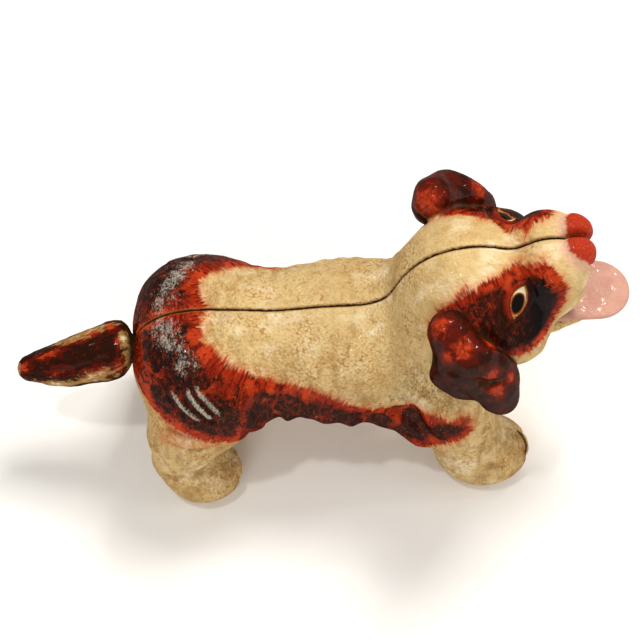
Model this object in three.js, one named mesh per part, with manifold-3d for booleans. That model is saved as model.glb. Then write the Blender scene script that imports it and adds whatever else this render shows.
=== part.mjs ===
// A cast iron puppy bank: two hollow half castings held together by two screws, a hinged tail, and a
// hinged tongue that the tail tips up through a wire link, so that a coin laid on it slides down the throat.
// Millimetres. +X is the way the dog faces, +Y its left side, +Z up. The origin is on the floor, under the
// middle of the length from the tail's tip to the tongue's tip.
import * as THREE from "three";
import { MarchingCubes } from "three/addons/objects/MarchingCubes.js";
import { mergeVertices } from "three/addons/utils/BufferGeometryUtils.js";
import Module from "manifold-3d";

const wasm = await Module();
wasm.setup();

// ---- Driving dimensions ----

const HALF_LENGTH = 96; // from the origin to the tail's tip, and to the tongue's
const SEAM_GAP = 0.3; // between the two castings
const WALL = 3.4; // thickness of the castings
const FIT_GAP = 0.3; // between pieces that meet
const OUTER_STEP = 3.4; // grid of the outer surface
const INNER_STEP = 6; // grid of the cavity
const MIDDLE = [11, 0, 52]; // middle of both grids
const FAR = 200; // beyond the dog in every direction

const TAIL_PIVOT = { x: -48, z: 51 };
const TONGUE_PIVOT = { x: 63, z: 66.6 };
const TAIL_CRANK = 4.2; // stands up from the tail's pivot
const TONGUE_CRANK = 5.6; // hangs down from the tongue's, so the tongue turns three quarters as far
const CRANK = { nearY: -1.8, farY: -4.2, eye: 2.7 }; // both cranks are a little to the dog's right
const TAIL_PIN = { ...TAIL_PIVOT, end: 16 };
const TONGUE_PIN = { ...TONGUE_PIVOT, end: 11.5 };
const PIN = { radius: 1.8, hole: 1.9 };
const HUB_RADIUS = 3.3;
const BOSS = { radius: 4.4, overlap: 2 };
const LINK = { radius: 1, hole: 1.35, y: -5.4, endY: -0.6 };
const SCREW = { radius: 1.9, hole: 2.2, head: 3.6, recess: 4, headHeight: 2.4, end: -14 };
const SCREWS = [
  { name: "rear_screw", x: -13, z: 46, headY: 20.4 },
  { name: "front_screw", x: 21, z: 46, headY: 22.2 },
];

const MOUTH = { cornerX: 67.5, throatX: 44, lowZ: 67.6, highZ: 76.4, half: 11.8 };
const HINGE_ROOM = { rightY: -6.9, leftY: 4 }; // where the hubs, the cranks and the link turn
const CRANK_POCKET = { low: [44, HINGE_ROOM.rightY, 57.8], high: [67.4, HINGE_ROOM.leftY, 69] };
const TAIL_SLOT = { low: [-FAR, -3.4, 44.4], high: [-45, 3.4, 56] };

// ---- Fields: distances, negative inside. The dog is drawn on its left side and mirrored. ----

function ellipsoid(centre, radii, pitchDegrees = 0) {
  const pitch = THREE.MathUtils.degToRad(pitchDegrees);
  const [cos, sin] = [Math.cos(pitch), Math.sin(pitch)];
  return (x, y, z) => {
    const [dx, dy, dz] = [x - centre[0], y - centre[1], z - centre[2]];
    const local = [dx * cos + dz * sin, dy, dz * cos - dx * sin];
    const near = Math.hypot(...local.map((d, axis) => d / radii[axis]));
    const slope = Math.hypot(...local.map((d, axis) => d / radii[axis] ** 2));
    return slope < 1e-9 ? -Math.min(...radii) : (near * (near - 1)) / slope;
  };
}

// A tapered limb with round ends, from one centre and radius to the other.
function limb(from, fromRadius, to, toRadius) {
  const span = to.map((value, axis) => value - from[axis]);
  const lengthSquared = span.reduce((sum, value) => sum + value * value, 0);
  return (x, y, z) => {
    const offset = [x - from[0], y - from[1], z - from[2]];
    const along = offset.reduce((sum, value, axis) => sum + value * span[axis], 0) / lengthSquared;
    const t = THREE.MathUtils.clamp(along, 0, 1);
    const off = offset.map((value, axis) => value - t * span[axis]);
    return Math.hypot(...off) - THREE.MathUtils.lerp(fromRadius, toRadius, t);
  };
}

// The union of fields, with its creases filled to about the given softness.
function blend(softness, ...fields) {
  return (x, y, z) =>
    fields
      .map((field) => field(x, y, z))
      .reduce((a, b) => {
        const overlap = Math.max(softness - Math.abs(a - b), 0);
        return Math.min(a, b) - (overlap * overlap) / (4 * softness);
      });
}

const torso = blend(
  7,
  ellipsoid([-32, 0, 48.2], [24.6, 30.3, 22.2]), // haunches
  ellipsoid([-40, 10, 50], [16, 18, 18]), // corners of the rump
  ellipsoid([-8, 0, 51.2], [32, 23.2, 16.8]), // waist
  ellipsoid([12, 0, 51], [28, 26.4, 17.2]), // ribs
  ellipsoid([41, 0, 46], [24, 25, 23.5]), // chest
);
const neck = ellipsoid([40.5, 0, 66], [17.5, 24, 21], 15);
const skull = blend(
  6,
  ellipsoid([46, 0, 78.6], [20.5, 23, 20]),
  ellipsoid([57, 14, 75.5], [12.5, 11.8, 12]), // cheeks
);
const muzzle = blend(
  4,
  ellipsoid([68.5, 4.2, 90], [11.5, 10.6, 11.8], 15), // bridge
  ellipsoid([67, 5, 80.5], [12.5, 9, 9]), // upper lips
);
const nose = ellipsoid([75.2, 3.6, 97.6], [5.6, 5, 6]);
const jaw = blend(6, limb([56, 0, 63], 11, [68.5, 0, 62.8], 9), ellipsoid([75.5, 0, 64.5], [12, 8, 4.6]));
const ear = blend(
  5,
  limb([37, 23.5, 90], 6.5, [40.5, 28.5, 84], 7.5), // root and fold
  ellipsoid([44, 29.5, 76.5], [12.3, 5.8, 13], 35),
  limb([51, 30.5, 71.5], 6.8, [53, 31.5, 64], 5.8), // tip
);
const hindLeg = blend(
  6,
  ellipsoid([-36.5, 18, 39], [16, 12.5, 20], -12), // thigh
  limb([-44, 22, 31], 11.3, [-46.4, 23.3, 18], 8.6), // hock
  ellipsoid([-38.8, 24.5, 8.6], [12.8, 11.2, 10.5]), // paw
);
const foreLeg = blend(
  6,
  limb([41, 18, 41], 12.5, [46.5, 21, 19], 11),
  ellipsoid([53.5, 22.5, 9], [15.2, 12.5, 11]), // paw
);
const fringe = blend(
  3,
  limb([-19, 20, 46.5], 3, [1, 22, 44.5], 3),
  limb([1, 22, 44.5], 3, [22, 23, 38.5], 3.5),
  limb([22, 23, 38.5], 3.5, [32, 24.3, 28.5], 5.2),
);

const trunk = blend(14, torso, neck);
const body = blend(6, trunk, skull, muzzle, jaw, hindLeg, foreLeg, fringe);
const outside = blend(2.5, body, ear, nose);
const hollow = blend(8, trunk, skull);

function cavity(x, y, z) {
  const [rear, front] = [-53.5, 61]; // walls of the rump and the muzzle
  return Math.max(hollow(x, y, z) + WALL, rear - x, x - front);
}

// ---- Solids ----

function solidOf(geometry) {
  const bare = geometry.index ? geometry.toNonIndexed() : geometry.clone();
  for (const name of Object.keys(bare.attributes)) {
    if (name !== "position") bare.deleteAttribute(name);
  }
  const merged = mergeVertices(bare, 1e-4);
  const vertProperties = Float32Array.from(merged.attributes.position.array);
  const triVerts = Uint32Array.from(merged.index.array);
  return new wasm.Manifold(new wasm.Mesh({ numProp: 3, vertProperties, triVerts }));
}

// The surface where a field is zero. The grid has a power of two of cells, so that neighbouring cells
// agree exactly about the corners they share.
function surfaceOf(field, step, cells) {
  const grid = new MarchingCubes(cells, undefined, false, false, 30000);
  grid.isolation = 0;
  const smallest = 0.03 * step; // keeps vertices away from the grid's own corners
  for (let k = 0; k < cells; k++) {
    for (let j = 0; j < cells; j++) {
      for (let i = 0; i < cells; i++) {
        const [x, y, z] = [i, j, k].map((n, axis) => (n - cells / 2) * step + MIDDLE[axis]);
        const depth = -field(x, Math.abs(y), z);
        const kept = Math.max(Math.abs(depth), smallest);
        grid.field[i + cells * (j + cells * k)] = depth < 0 ? -kept : kept;
      }
    }
  }
  grid.update();
  const points = grid.positionArray.slice(0, grid.count * 3);
  const geometry = new THREE.BufferGeometry().setAttribute("position", new THREE.BufferAttribute(points, 3));
  const scale = (step * cells) / 2;
  return solidOf(geometry.scale(scale, scale, scale).translate(...MIDDLE));
}

function block({ low, high }) {
  const size = low.map((value, axis) => high[axis] - value);
  const centre = low.map((value, axis) => (value + high[axis]) / 2);
  return solidOf(new THREE.BoxGeometry(...size).translate(...centre));
}

// A round bar across the dog.
function crossBar({ x, z }, radius, fromY, toY, sides = 20) {
  const bar = new THREE.CylinderGeometry(radius, radius, toY - fromY, sides);
  return solidOf(bar.translate(x, (fromY + toY) / 2, z));
}

// A straight arm with round ends between two centres, lying in the dog's middle plane.
function arm(from, fromRadius, to, toRadius, fromY, toY) {
  const lean = Math.atan2(to.z - from.z, to.x - from.x);
  const quarter = Math.PI / 2;
  const shape = new THREE.Shape();
  shape.absarc(from.x, from.z, fromRadius, lean + quarter, lean - quarter + 2 * Math.PI, false);
  shape.absarc(to.x, to.z, toRadius, lean - quarter, lean + quarter, false);
  const depth = toY - fromY;
  const plate = new THREE.ExtrudeGeometry(shape, { depth, bevelEnabled: false, curveSegments: 9 });
  return solidOf(plate.rotateX(quarter).translate(0, toY, 0));
}

// Round wire through the given points, with a ball at each one.
function wire(points, radius) {
  const stops = points.map((point) => new THREE.Vector3(...point));
  const across = new THREE.Vector3(0, 1, 0);
  const balls = stops.map((stop) => solidOf(new THREE.SphereGeometry(radius, 10, 6).translate(...stop)));
  const bars = stops.slice(1).map((stop, i) => {
    const run = stop.clone().sub(stops[i]);
    const bar = new THREE.CylinderGeometry(radius, radius, run.length(), 10);
    const middle = stop.clone().add(stops[i]).multiplyScalar(0.5);
    const turn = new THREE.Quaternion().setFromUnitVectors(across, run.normalize());
    return solidOf(bar.applyQuaternion(turn).translate(...middle));
  });
  return joined([...balls, ...bars]);
}

function joined(solids) {
  return solids.reduce((all, solid) => all.add(solid));
}

function largest(solid) {
  return solid.decompose().reduce((a, b) => (a.volume() > b.volume() ? a : b));
}

// ---- The two castings ----

function pinBosses() {
  return [TAIL_PIN, TONGUE_PIN].flatMap((pin) => [
    crossBar(pin, BOSS.radius, HINGE_ROOM.leftY, pin.end + BOSS.overlap),
    crossBar(pin, BOSS.radius, -pin.end - BOSS.overlap, HINGE_ROOM.rightY),
  ]);
}

function pinHoles() {
  return [TAIL_PIN, TONGUE_PIN].map((pin) => crossBar(pin, PIN.hole, -pin.end - FIT_GAP, pin.end + FIT_GAP));
}

function screwHoles() {
  return SCREWS.flatMap((screw) => [
    crossBar(screw, SCREW.hole, SCREW.end - 1, FAR),
    crossBar(screw, SCREW.recess, screw.headY - FIT_GAP, FAR),
  ]);
}

function castings() {
  const bosses = [...SCREWS.map((screw) => crossBar(screw, BOSS.radius, -20, 20)), ...pinBosses()];
  const shell = surfaceOf(outside, OUTER_STEP, 64).subtract(surfaceOf(cavity, INNER_STEP, 32));
  const cuts = [
    block({ low: [-FAR, -FAR, -FAR], high: [FAR, FAR, 0] }), // flat soles
    block({ low: [MOUTH.cornerX, -FAR, MOUTH.lowZ], high: [FAR, FAR, MOUTH.highZ] }),
    block({ low: [MOUTH.throatX, -MOUTH.half, MOUTH.lowZ], high: [FAR, MOUTH.half, MOUTH.highZ] }),
    block(CRANK_POCKET),
    block(TAIL_SLOT),
    ...pinHoles(),
    ...screwHoles(),
  ];
  const whole = cuts.reduce((rest, cut) => rest.subtract(cut), joined([shell, ...bosses]));
  const leftHalf = block({ low: [-FAR, SEAM_GAP / 2, -FAR], high: [FAR, FAR, FAR] });
  const rightHalf = block({ low: [-FAR, -FAR, -FAR], high: [FAR, -SEAM_GAP / 2, FAR] });
  return [largest(whole.intersect(leftHalf)), largest(whole.intersect(rightHalf))];
}

// ---- Moving pieces ----

function linkEnds() {
  return [
    { x: TAIL_PIVOT.x, z: TAIL_PIVOT.z + TAIL_CRANK },
    { x: TONGUE_PIVOT.x, z: TONGUE_PIVOT.z - TONGUE_CRANK },
  ];
}

function bored(solid, pivot, linkEnd) {
  const pinHole = crossBar(pivot, PIN.hole, -FAR, FAR);
  return solid.subtract(pinHole).subtract(crossBar(linkEnd, LINK.hole, -FAR, FAR));
}

// A tail turned about its middle line, fattest near the rump, then bent to hang.
function tail() {
  const base = { x: -58.2, z: 50.4 };
  const length = HALF_LENGTH + base.x;
  const hang = 10.8;
  const profile = [
    [0, 0], [0.004, 5.2], [0.035, 7.2], [0.075, 8.7], [0.13, 9.2], [0.2, 9.4], [0.32, 9.2], [0.48, 8.4],
    [0.68, 6.8], [0.84, 5.2], [0.94, 3.6], [0.985, 1.9], [1, 0],
  ].map(([along, radius]) => new THREE.Vector2(radius, along * length));
  const turned = new THREE.LatheGeometry(profile, 18).rotateZ(Math.PI / 2);
  const points = turned.attributes.position;
  for (let i = 0; i < points.count; i++) {
    const along = THREE.MathUtils.clamp(-points.getX(i) / length, 0, 1);
    points.setZ(i, points.getZ(i) - hang * Math.sin((along * Math.PI) / 2) ** 1.2);
  }
  const flesh = solidOf(turned.translate(base.x, 0, base.z));
  const root = { x: base.x - 6, z: base.z - 2 };
  const stem = arm(TAIL_PIVOT, HUB_RADIUS, root, 3.2, -2.9, 2.9);
  const hub = crossBar(TAIL_PIVOT, HUB_RADIUS, CRANK.farY, 3.4);
  const [linkEnd] = linkEnds();
  const crank = arm(TAIL_PIVOT, HUB_RADIUS, linkEnd, CRANK.eye, CRANK.farY, CRANK.nearY);
  return bored(joined([flesh, stem, hub, crank]), TAIL_PIVOT, linkEnd);
}

// A flat tongue, round at the tip, on a hub that carries its crank.
function tongue() {
  const [rootX, half, low, high] = [59, 10.4, 69.2, 71.6];
  const tipX = HALF_LENGTH - half;
  const outline = new THREE.Shape();
  outline.moveTo(rootX, -half + 1.5);
  outline.lineTo(rootX + 6, -half);
  outline.absarc(tipX, 0, half, -Math.PI / 2, Math.PI / 2, false);
  outline.lineTo(rootX + 6, half);
  outline.lineTo(rootX, half - 1.5);
  const depth = high - low;
  const plate = new THREE.ExtrudeGeometry(outline, { depth, bevelEnabled: false, curveSegments: 14 });
  const hub = crossBar(TONGUE_PIVOT, HUB_RADIUS, CRANK.farY, 3.4);
  const [, linkEnd] = linkEnds();
  const crank = arm(TONGUE_PIVOT, HUB_RADIUS, linkEnd, CRANK.eye, CRANK.farY, CRANK.nearY);
  return bored(joined([solidOf(plate.translate(0, 0, low)), hub, crank]), TONGUE_PIVOT, linkEnd);
}

function link() {
  const [tailEnd, tongueEnd] = linkEnds();
  const turned = (end) => [[end.x, LINK.endY, end.z], [end.x, LINK.y, end.z]];
  return wire([...turned(tailEnd), ...turned(tongueEnd).reverse()], LINK.radius);
}

function pin(place) {
  return crossBar(place, PIN.radius, -place.end, place.end);
}

function screw({ x, z, headY }) {
  const shank = crossBar({ x, z }, SCREW.radius, SCREW.end, headY + 0.5);
  const head = crossBar({ x, z }, SCREW.head, headY, headY + SCREW.headHeight, 24);
  const slot = block({
    low: [x - FAR, headY + SCREW.headHeight - 1.1, z - 0.45],
    high: [x + FAR, FAR, z + 0.45],
  });
  return joined([shank, head]).subtract(slot);
}

// ---- Assembly ----

const paint = new THREE.MeshStandardMaterial({ color: 0xdccaa2, roughness: 0.55, metalness: 0 });
const tailPaint = new THREE.MeshStandardMaterial({ color: 0x6b2a1c, roughness: 0.5, metalness: 0 });
const tonguePaint = new THREE.MeshStandardMaterial({ color: 0xe8b2a4, roughness: 0.5, metalness: 0 });
const steel = new THREE.MeshStandardMaterial({ color: 0x8d8d8a, roughness: 0.4, metalness: 1 });

function meshOf(name, solid, material) {
  const { vertProperties, triVerts } = solid.getMesh();
  const geometry = new THREE.BufferGeometry();
  geometry.setAttribute("position", new THREE.BufferAttribute(vertProperties, 3));
  geometry.setIndex(new THREE.BufferAttribute(triVerts, 1));
  geometry.computeVertexNormals();
  const mesh = new THREE.Mesh(geometry, material);
  mesh.name = name;
  return mesh;
}

const [leftCasting, rightCasting] = castings();
const puppy = new THREE.Group();
puppy.add(
  meshOf("left_casting", leftCasting, paint),
  meshOf("right_casting", rightCasting, paint),
  meshOf("tail", tail(), tailPaint),
  meshOf("tongue", tongue(), tonguePaint),
  meshOf("tail_pin", pin(TAIL_PIN), steel),
  meshOf("tongue_pin", pin(TONGUE_PIN), steel),
  meshOf("link", link(), steel),
  ...SCREWS.map((place) => meshOf(place.name, screw(place), steel)),
);

export default puppy;
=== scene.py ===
"""The looks of a painted cast iron puppy bank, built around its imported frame.

The two castings, the tail and the tongue are modelled again here as distance fields, turned into
fine meshes, sculpted and painted by node materials. The pins, the link and the screws stay as packed.
Lengths in this script are millimetres, and become metres only when a mesh or an object is made.
+X is the way the dog faces, +Y its left side, +Z up.
"""

import functools
import itertools
import math

import bpy
import numpy as np
import openvdb
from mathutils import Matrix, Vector


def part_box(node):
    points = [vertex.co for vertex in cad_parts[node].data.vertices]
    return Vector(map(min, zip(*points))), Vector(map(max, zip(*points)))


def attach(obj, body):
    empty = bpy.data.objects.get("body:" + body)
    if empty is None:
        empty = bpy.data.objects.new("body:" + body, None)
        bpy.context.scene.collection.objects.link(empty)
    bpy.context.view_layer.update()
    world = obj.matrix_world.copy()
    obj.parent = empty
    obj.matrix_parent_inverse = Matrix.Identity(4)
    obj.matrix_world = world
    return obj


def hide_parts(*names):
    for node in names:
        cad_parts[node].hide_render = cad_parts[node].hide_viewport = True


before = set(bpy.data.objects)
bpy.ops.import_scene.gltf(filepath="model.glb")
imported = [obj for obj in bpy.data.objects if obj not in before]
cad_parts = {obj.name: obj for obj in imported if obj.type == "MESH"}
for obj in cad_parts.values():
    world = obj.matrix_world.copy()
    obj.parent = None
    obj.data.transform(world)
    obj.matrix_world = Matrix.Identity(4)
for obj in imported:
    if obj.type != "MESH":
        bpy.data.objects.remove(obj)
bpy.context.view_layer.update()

MM = 0.001

# ---- Sizes taken from the frame ----


def node_box(name):
    """Lowest and highest corner of a CAD node, in millimetres."""
    low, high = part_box(name)
    return np.array(low) / MM, np.array(high) / MM


def axle(name):
    """x, z, radius and half length of a pin that lies across the dog."""
    low, high = node_box(name)
    middle = (low + high) / 2
    return middle[0], middle[2], (high[0] - low[0]) / 2, high[1]


TAIL_X, TAIL_Z, PIN_RADIUS, TAIL_PIN_END = axle("tail_pin")
TONGUE_X, TONGUE_Z, _, TONGUE_PIN_END = axle("tongue_pin")
PINS = ((TAIL_X, TAIL_Z, TAIL_PIN_END), (TONGUE_X, TONGUE_Z, TONGUE_PIN_END))
PIN_HOLE = PIN_RADIUS + 0.1
SCREWS = ("rear_screw", "front_screw")
TAIL_TIP_X = node_box("tail")[0][0]
TONGUE_TIP_X = node_box("tongue")[1][0]
LINK_LOW, LINK_HIGH = node_box("link")
LINK_RADIUS = 1.0
TAIL_EYE = (LINK_LOW[0] + LINK_RADIUS, LINK_LOW[2] + LINK_RADIUS)
TONGUE_EYE = (LINK_HIGH[0] - LINK_RADIUS, LINK_HIGH[2] - LINK_RADIUS)

# ---- Sizes of the castings that the frame's boxes don't show ----

FAR = 200
WALL = 3.4
CAVITY_ENDS = (-53.5, 61)  # walls of the rump and the muzzle
BOSS_RADIUS = 4.4
SCREW = {"hole": 2.3, "hole_end": 15, "boss_end": 20, "recess": 4.1, "sunk": 2.7}
HINGE_ROOM = {1: 4.0, -1: 6.9}  # from the seam, on the dog's left and right
MOUTH = {"corner": 67.5, "throat": 44, "low": 67.6, "high": 76.4, "half": 11.8}
CRANK_POCKET = {"rear": 44, "front": 67.4, "low": 57.8, "high": 69}
TAIL_SLOT = {"front": -45, "half": 3.4, "low": 44.4, "high": 56}

# ---- Distance fields: negative inside; p is (x, y, z) with y measured outward from the seam ----


def ellipsoid(centre, radii, pitch=0.0):
    cos, sin = math.cos(math.radians(pitch)), math.sin(math.radians(pitch))

    def field(p):
        dx, dy, dz = (p[axis] - centre[axis] for axis in range(3))
        local = (dx * cos + dz * sin, dy, dz * cos - dx * sin)
        near = np.sqrt(sum((d / r) ** 2 for d, r in zip(local, radii)))
        slope = np.sqrt(sum((d / r**2) ** 2 for d, r in zip(local, radii)))
        return near * (near - 1) / np.maximum(slope, 1e-6)

    return field


def limb(start, start_radius, end, end_radius):
    """A tapered capsule."""
    span = np.subtract(end, start)

    def field(p):
        offset = [p[axis] - start[axis] for axis in range(3)]
        along = sum(d * s for d, s in zip(offset, span)) / (span @ span)
        t = np.clip(along, 0, 1)
        off = np.sqrt(sum((d - t * s) ** 2 for d, s in zip(offset, span)))
        return off - start_radius - t * (end_radius - start_radius)

    return field


def soft_min(a, b, softness):
    overlap = np.maximum(softness - np.abs(a - b), 0)
    return np.minimum(a, b) - overlap**2 / (4 * softness)


def soft_max(a, b, softness):
    return -soft_min(-a, -b, softness)


def blend(softness, *fields):
    def field(p):
        value = fields[0](p)
        for other in fields[1:]:
            value = soft_min(value, other(p), softness)
        return value

    return field


def block(p, low, high):
    """A box, as a field."""
    sides = [np.maximum(low[axis] - p[axis], p[axis] - high[axis]) for axis in range(3)]
    return np.maximum(np.maximum(sides[0], sides[1]), sides[2])


def cross_bar(p, x, z, radius, near, far):
    """A round bar across the dog, from y = near to y = far."""
    return np.maximum(np.hypot(p[0] - x, p[2] - z) - radius, np.maximum(near - p[1], p[1] - far))


torso = blend(
    7,
    ellipsoid([-32, 0, 48.2], [24.6, 30.3, 22.2]),  # haunches
    ellipsoid([-41, 8, 52], [15.5, 18, 18]),  # top of the rump
    ellipsoid([-8, 0, 51.2], [32, 23.2, 16.8]),  # waist
    ellipsoid([12, 0, 51], [28, 26.4, 17.2]),  # ribs
    ellipsoid([41, 0, 46], [24, 25, 23.5]),  # chest
)
neck = ellipsoid([40.5, 0, 66], [17.5, 24, 21], 15)
skull = blend(
    6,
    ellipsoid([46, 0, 78.6], [20.5, 23, 20]),
    ellipsoid([57, 14, 75.5], [12.5, 11.8, 12]),  # cheeks
)
muzzle = blend(
    4,
    ellipsoid([68.5, 4.2, 90], [11.5, 10.6, 11.8], 15),  # bridge
    ellipsoid([67, 5, 80.5], [12.5, 9, 9]),  # upper lips
)
nose = ellipsoid([75.2, 3.6, 97.6], [5.6, 5, 6])
jaw = blend(6, limb([56, 0, 63], 11, [68.5, 0, 62.8], 9), ellipsoid([75.5, 0, 64.5], [12, 8, 4.6]))
ear = blend(
    5,
    limb([37, 23.5, 90], 6.5, [40.5, 28.5, 84], 7.5),  # root and fold
    ellipsoid([44, 29.5, 76.5], [12.3, 5.8, 13], 35),
    limb([51, 30.5, 71.5], 6.8, [53, 31.5, 64], 5.8),  # tip
)
hind_leg = blend(
    6,
    ellipsoid([-36.5, 18, 39], [16, 12.5, 20], -12),  # thigh
    limb([-44, 22, 31], 11.3, [-46.4, 23.3, 18], 8.6),  # hock
    ellipsoid([-38.8, 24.5, 8.6], [12.8, 11.2, 10.5]),  # paw
)
fore_leg = blend(
    6,
    limb([41, 18, 41], 12.5, [46.5, 21, 19], 11),
    ellipsoid([53.5, 22.5, 9], [15.2, 12.5, 11]),  # paw
)
fringe = blend(
    3,
    limb([-19, 20, 46.5], 3, [1, 22, 44.5], 3),
    limb([1, 22, 44.5], 3, [22, 23, 38.5], 3.5),
    limb([22, 23, 38.5], 3.5, [32, 24.3, 28.5], 5.2),
)
trunk = blend(14, torso, neck)
body = blend(6, trunk, skull, muzzle, jaw, hind_leg, fore_leg, fringe)
hollow = blend(8, trunk, skull)


def outside(p):
    return soft_min(soft_min(body(p), ear(p), 2.5), nose(p), 1.6)


# ---- Small helpers for shaping ----


def rise(value, low, high):
    """0 below low, 1 above high, smooth between."""
    t = np.clip((value - low) / (high - low), 0, 1)
    return t * t * (3 - 2 * t)


def bell(away, width):
    """1 where away is 0, falling to almost 0 at twice the width."""
    return np.exp(-((away / width) ** 2))


def noise(points, size, seed):
    """Smooth noise from -1 to 1, with lumps of the given size, the same on every run."""
    place = np.asarray(points, float) / size + 17.3 * seed
    cell = np.floor(place)
    part = place - cell
    part = part * part * (3 - 2 * part)
    total = 0
    for corner in itertools.product((0, 1), repeat=3):
        spread = np.sin((cell + corner) @ np.array([12.9898, 78.233, 37.719])) * 43758.5453
        weight = np.prod(np.where(corner, part, 1 - part), axis=-1)
        total = total + weight * (spread - np.floor(spread))
    return 2 * total - 1


def to_path(points, path):
    """Each point's distance from a path of straight stretches, and how far along the nearest place is."""
    best = np.full(len(points), np.inf)
    along = np.zeros(len(points))
    done = 0.0
    for start, end in zip(path[:-1], path[1:]):
        span = np.subtract(end, start)
        length = np.linalg.norm(span)
        t = np.clip((points - start) @ span / length**2, 0, 1)
        away = np.linalg.norm(points - start - t[:, None] * span, axis=1)
        closer = away < best
        best = np.where(closer, away, best)
        along = np.where(closer, done + t * length, along)
        done += length
    return best, along


def near_path(points, path, width):
    """1 on the path, falling to almost 0 at twice the width from it."""
    return bell(to_path(points, path)[0], width)


def inside_outline(points, outline):
    """Whether each 2-D point is inside a closed outline."""
    within = np.zeros(len(points), bool)
    for start, end in zip(outline, np.roll(outline, -1, axis=0)):
        straddles = (start[1] > points[:, 1]) != (end[1] > points[:, 1])
        rise_by = end[1] - start[1] if end[1] != start[1] else 1e-9
        crossing = start[0] + (points[:, 1] - start[1]) * (end[0] - start[0]) / rise_by
        within ^= straddles & (points[:, 0] < crossing)
    return within


def to_outline(points, outline):
    """The distance inside a closed outline, negative outside, and how far round the nearest place is."""
    outline = np.asarray(outline, float)
    away, along = to_path(points, [*outline, outline[0]])
    return np.where(inside_outline(points, outline), away, -away), along


# ---- Meshes from fields ----

BODY_STEP = 0.66
SMALL_STEP = 0.45


def normals_of(points, quads):
    corners = points[quads]
    facing = np.cross(corners[:, 2] - corners[:, 0], corners[:, 3] - corners[:, 1])
    summed = np.zeros_like(points)
    for corner in range(4):
        np.add.at(summed, quads[:, corner], facing)
    return summed / np.maximum(np.linalg.norm(summed, axis=1), 1e-9)[:, None]


def surface(field, low, high, step):
    """Points (millimetres), four-sided faces and normals of the surface where the field is zero."""
    axes = [np.arange(low[axis], high[axis] + step, step, dtype=np.float32) for axis in range(3)]
    values = field((axes[0][:, None, None], axes[1][None, :, None], axes[2][None, None, :]))
    reach = 3 * step
    grid = openvdb.FloatGrid(reach)
    grid.copyFromArray(np.clip(values, -reach, reach).astype(np.float32))
    points, quads = grid.convertToQuads(isovalue=0.0)
    points = points.astype(float) * step + np.asarray(low, float)
    quads = quads.astype(int)
    return points, quads, normals_of(points, quads)


def smoothed(points, quads, rounds):
    """The points, each averaged with its neighbours several times over."""
    for _ in range(rounds):
        total = np.zeros_like(points)
        count = np.zeros(len(points))
        for one, other in ((0, 1), (1, 2), (2, 3), (3, 0)):
            for a, b in ((one, other), (other, one)):
                np.add.at(total, quads[:, a], points[quads[:, b]])
                np.add.at(count, quads[:, a], 1)
        points = 0.5 * points + 0.5 * total / count[:, None]
    return points


def in_scene(name, data):
    """A new object with the data, put into the scene."""
    made = bpy.data.objects.new(name, data)
    bpy.context.scene.collection.objects.link(made)
    return made


def mesh_object(name, points, quads, attributes):
    mesh = bpy.data.meshes.new(name)
    mesh.from_pydata(points * MM, [], quads)
    for label, values in attributes.items():
        layer = mesh.attributes.new(label, "FLOAT", "POINT")
        layer.data.foreach_set("value", np.asarray(values, np.float32))
    mesh.shade_smooth()
    mesh.update()
    return in_scene(name, mesh)


# ---- The castings' shape ----

EYE = {
    "centre": [57.8, 14.4, 90.6], "long": 5.0, "wide": 2.5,
    "ball_down": 0.7, "iris": (3.5, 2.3), "pupil": (3.05, 1.95),
}
EYE_OUT = np.array([0.16, 0.74, 0.65])  # the way the eye looks, on the left side
EYE_DOWN = np.array([-0.38, 0.62, -0.68])  # from its inner corner to its outer one
NOSE_PAINT = ellipsoid([77.7, 3.5, 100.3], [6.6, 5.1, 6])
EAR_HOLLOW = [[37.5, 34.3, 86.5], [42.5, 35.8, 84], [46.3, 36.2, 79]]
EAR_CURL = [[45.6, 36, 74], [46.6, 35.9, 77.5], [48.8, 35.5, 80], [52, 35, 79.5]]
HOCK = [
    [-48.5, 29.4, 40.2], [-44.5, 31.3, 39.2], [-39.3, 31.9, 37.8], [-33.7, 31.1, 39], [-27, 30, 44.5],
]
BROW = [[57, 5.5, 97.5], [54.5, 9, 96.5], [53, 14.5, 93.5], [53.3, 22, 86]]
SMILE = [[-47, 28.4, 46.5], [-43, 30.5, 45.2], [-38, 31.4, 47.5]]
STREAKS = [
    [[-45.2, 22.3, 62.7], [-44, 24.6, 60.3], [-42.4, 26.6, 58.2], [-39.1, 28.7, 55.5], [-34.3, 30.2, 52.7]],
    [[-40.3, 22.9, 63.9], [-40, 24.6, 62.1], [-37.7, 27.2, 58.9], [-34.3, 29.3, 55.2]],
    [[-37.8, 22.4, 64.6], [-37, 24.4, 62.7], [-33.8, 27, 59.2], [-29.4, 29.5, 53.4]],
]
CHIP = [[65.4, 20.1, 15.4], [67.2, 23.5, 13.1], [66.6, 28.6, 8.6]]  # on the right forepaw only
PAW_FRONTS = ((-26, 24.5), (68.7, 22.5))  # x and y
TOE_GROOVES = (-3.6, 3.6)  # from the middle of a paw


def eye_places(p):
    """Millimetres down and across the eye, and a lens measure: below 1 within the lids."""
    offset = p - np.array(EYE["centre"])
    across = np.cross(EYE_OUT, EYE_DOWN)
    down = offset @ (EYE_DOWN / np.linalg.norm(EYE_DOWN))
    over = offset @ (across / np.linalg.norm(across))
    far = np.linalg.norm(offset, axis=1) > 12
    lens = (down / EYE["long"]) ** 2 + np.abs(over) / EYE["wide"]
    return np.where(far, 30, down), np.where(far, 30, over), np.where(far, 30, lens)


def screw_place(name):
    """x and z of a screw, and y of its head's face."""
    low, high = node_box(name)
    return (low[0] + high[0]) / 2, (low[2] + high[2]) / 2, high[1]


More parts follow.
